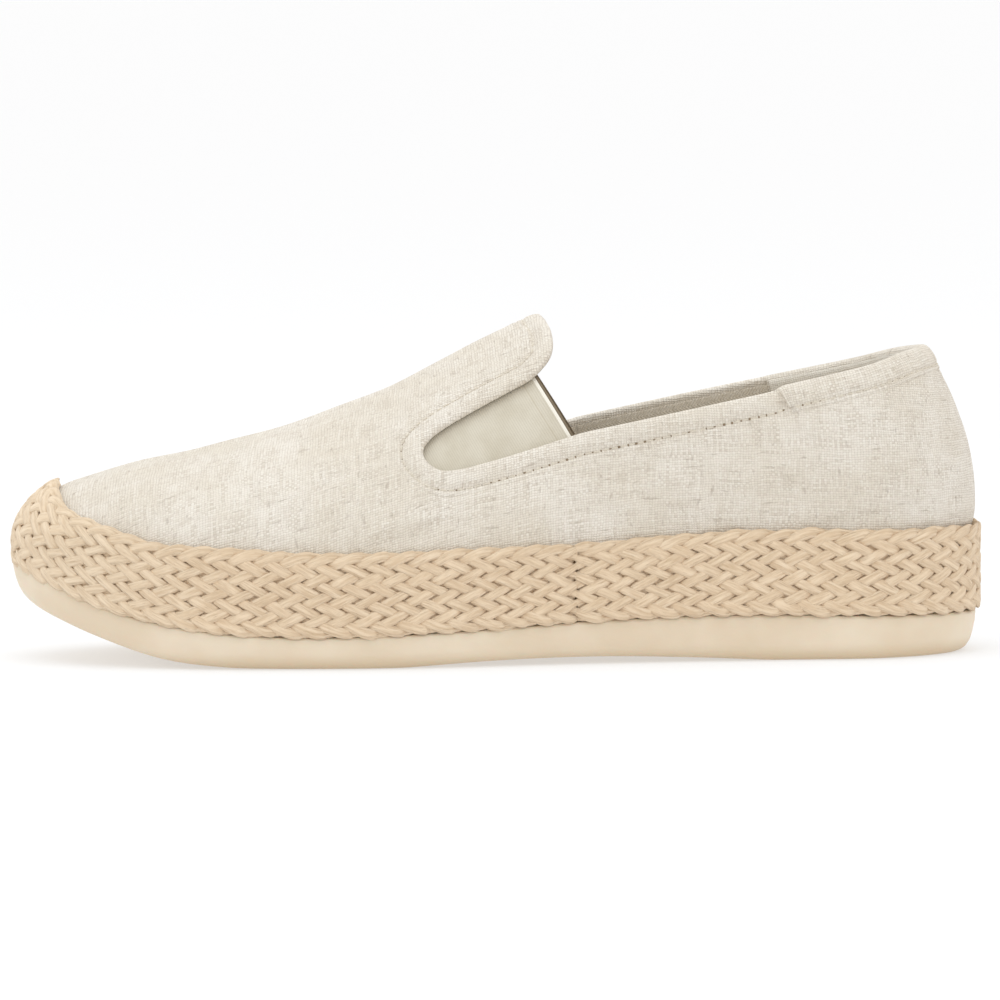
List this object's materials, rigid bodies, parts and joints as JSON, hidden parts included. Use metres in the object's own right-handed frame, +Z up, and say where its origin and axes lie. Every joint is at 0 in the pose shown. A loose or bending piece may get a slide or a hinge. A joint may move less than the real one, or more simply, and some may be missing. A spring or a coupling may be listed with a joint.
{
  "type": "espadrille",
  "caption": "Low slip-on shoe with a hollow cloth upper, side gores, a plaited jute band round the sole and a rubber outsole.",
  "frame": {"origin": "on the floor under the middle of the shoe's length and width", "axes": "+X towards the heel, -X towards the toe, +Y towards the inner side, -Y towards the outer side, +Z up"},
  "size_m": [0.2639, 0.0924, 0.0923],
  "materials": {
    "outsole_rubber": "pale cream crepe rubber, satin",
    "midsole_foam": "matte foam",
    "jute": "natural jute fibre, matte, plaited",
    "linen": "undyed linen canvas, matte plain weave",
    "elastic": "fine knit elastic",
    "sock": "plain cotton sock lining"
  },
  "bodies": {
    "root": {"outsole": "outsole_rubber", "midsole": "midsole_foam", "jute_braid": "jute", "upper": "linen", "gore_outer": "elastic", "gore_inner": "elastic", "insole": "sock"}
  },
  "joints": []
}
